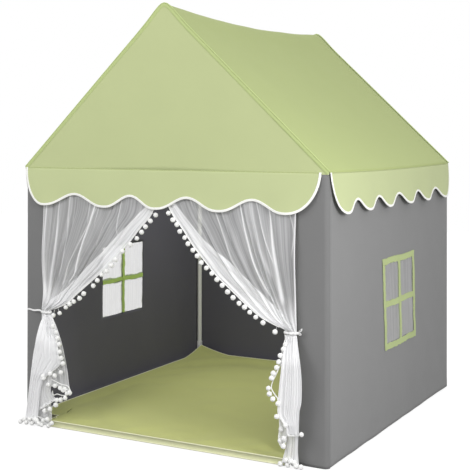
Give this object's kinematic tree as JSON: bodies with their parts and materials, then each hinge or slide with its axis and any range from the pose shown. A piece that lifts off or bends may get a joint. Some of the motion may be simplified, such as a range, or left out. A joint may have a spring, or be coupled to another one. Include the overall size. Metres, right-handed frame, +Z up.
{
  "type": "play tent",
  "caption": "House-shaped play tent on a tube frame, with a gable roof cover, scalloped valances, windows, tied doorway curtains and a padded floor mat.",
  "frame": {"origin": "on the floor, under the middle of the tent's frame, on the underside of the mat", "axes": "+X to the right of the doorway seen from outside, +Y from the doorway towards the back, +Z up"},
  "size_m": [1.1652, 1.2525, 1.4072],
  "materials": {
    "white_plastic": "smooth moulded, slightly satin",
    "grey_cloth": "plain woven polyester, matt",
    "green_cloth": "plain woven polyester, matt",
    "green_piping": "folded and stitched seam piping",
    "green_tape": "woven ribbon, lightly puckered",
    "white_binding": "folded bias binding, stitched",
    "white_sheer": "sheer voile, seen through",
    "window_sheer": "fine mesh voile",
    "white_yarn": "fluffy yarn and soft cord",
    "olive_cloth": "brushed cloth over padding"
  },
  "bodies": {
    "tent": {"post_front_left": "white_plastic", "post_front_right": "white_plastic", "post_back_left": "white_plastic", "post_back_right": "white_plastic", "rafter_front_left": "white_plastic", "rafter_front_right": "white_plastic", "rafter_back_left": "white_plastic", "rafter_back_right": "white_plastic", "eave_rail_front": "white_plastic", "eave_rail_back": "white_plastic", "eave_rail_left": "white_plastic", "eave_rail_right": "white_plastic", "floor_rail_left": "white_plastic", "floor_rail_right": "white_plastic", "floor_rail_back": "white_plastic", "corner_joint_front_left": "white_plastic", "corner_joint_front_right": "white_plastic", "corner_joint_back_left": "white_plastic", "corner_joint_back_right": "white_plastic", "foot_joint_front_left": "white_plastic", "foot_joint_front_right": "white_plastic", "foot_joint_back_left": "white_plastic", "foot_joint_back_right": "white_plastic", "apex_joint_front": "white_plastic", "apex_joint_back": "white_plastic", "wall_front": "grey_cloth", "wall_back": "grey_cloth", "wall_left": "grey_cloth", "wall_right": "grey_cloth", "window_pane_left": "window_sheer", "window_trim_left": "green_tape", "roof_slope_left": "green_cloth", "curtain_drape_left": "white_sheer", "tieback_left": "white_yarn", "pompom_trim_drape_left": "white_yarn", "window_pane_right": "window_sheer", "window_trim_right": "green_tape", "roof_slope_right": "green_cloth", "curtain_drape_right": "white_sheer", "tieback_right": "white_yarn", "pompom_trim_drape_right": "white_yarn", "gable_front": "green_cloth", "roof_piping_front": "green_piping", "gable_back": "green_cloth", "roof_piping_back": "green_piping"},
    "mat": {"mat": "olive_cloth"},
    "front_valance": {"valance_front": "green_cloth", "valance_front_binding": "white_binding"},
    "back_valance": {"valance_back": "green_cloth", "valance_back_binding": "white_binding"},
    "left_valance": {"valance_left": "green_cloth", "valance_left_binding": "white_binding"},
    "right_valance": {"valance_right": "green_cloth", "valance_right_binding": "white_binding"},
    "left_curtain_tail": {"curtain_tail_left": "white_sheer", "pompom_trim_tail_left": "white_yarn"},
    "right_curtain_tail": {"curtain_tail_right": "white_sheer", "pompom_trim_tail_right": "white_yarn"}
  },
  "joints": [
    {"name": "front_valance_fold", "type": "hinge", "parent": "tent", "child": "front_valance", "pos_m": [0, -0.5815, 0.88], "axis": [-1, 0, 0], "range_deg": [0, 165]},
    {"name": "back_valance_fold", "type": "hinge", "parent": "tent", "child": "back_valance", "pos_m": [0, 0.5815, 0.88], "axis": [1, 0, 0], "range_deg": [0, 165]},
    {"name": "right_valance_fold", "type": "hinge", "parent": "tent", "child": "right_valance", "pos_m": [0.5635, 0, 0.88], "axis": [0, -1, 0], "range_deg": [0, 190]},
    {"name": "left_valance_fold", "type": "hinge", "parent": "tent", "child": "left_valance", "pos_m": [-0.5635, 0, 0.88], "axis": [0, 1, 0], "range_deg": [0, 190]},
    {"name": "left_curtain_swing", "type": "hinge", "parent": "tent", "child": "left_curtain_tail", "pos_m": [-0.464, -0.61467, 0.3836], "axis": [-1, 0, 0], "range_deg": [0, 35]},
    {"name": "right_curtain_swing", "type": "hinge", "parent": "tent", "child": "right_curtain_tail", "pos_m": [0.452, -0.61467, 0.3956], "axis": [-1, 0, 0], "range_deg": [0, 35]},
    {"name": "mat_lift", "type": "slide", "parent": "tent", "child": "mat", "axis": [0, 0, 1], "range_m": [0, 0.2]}
  ]
}
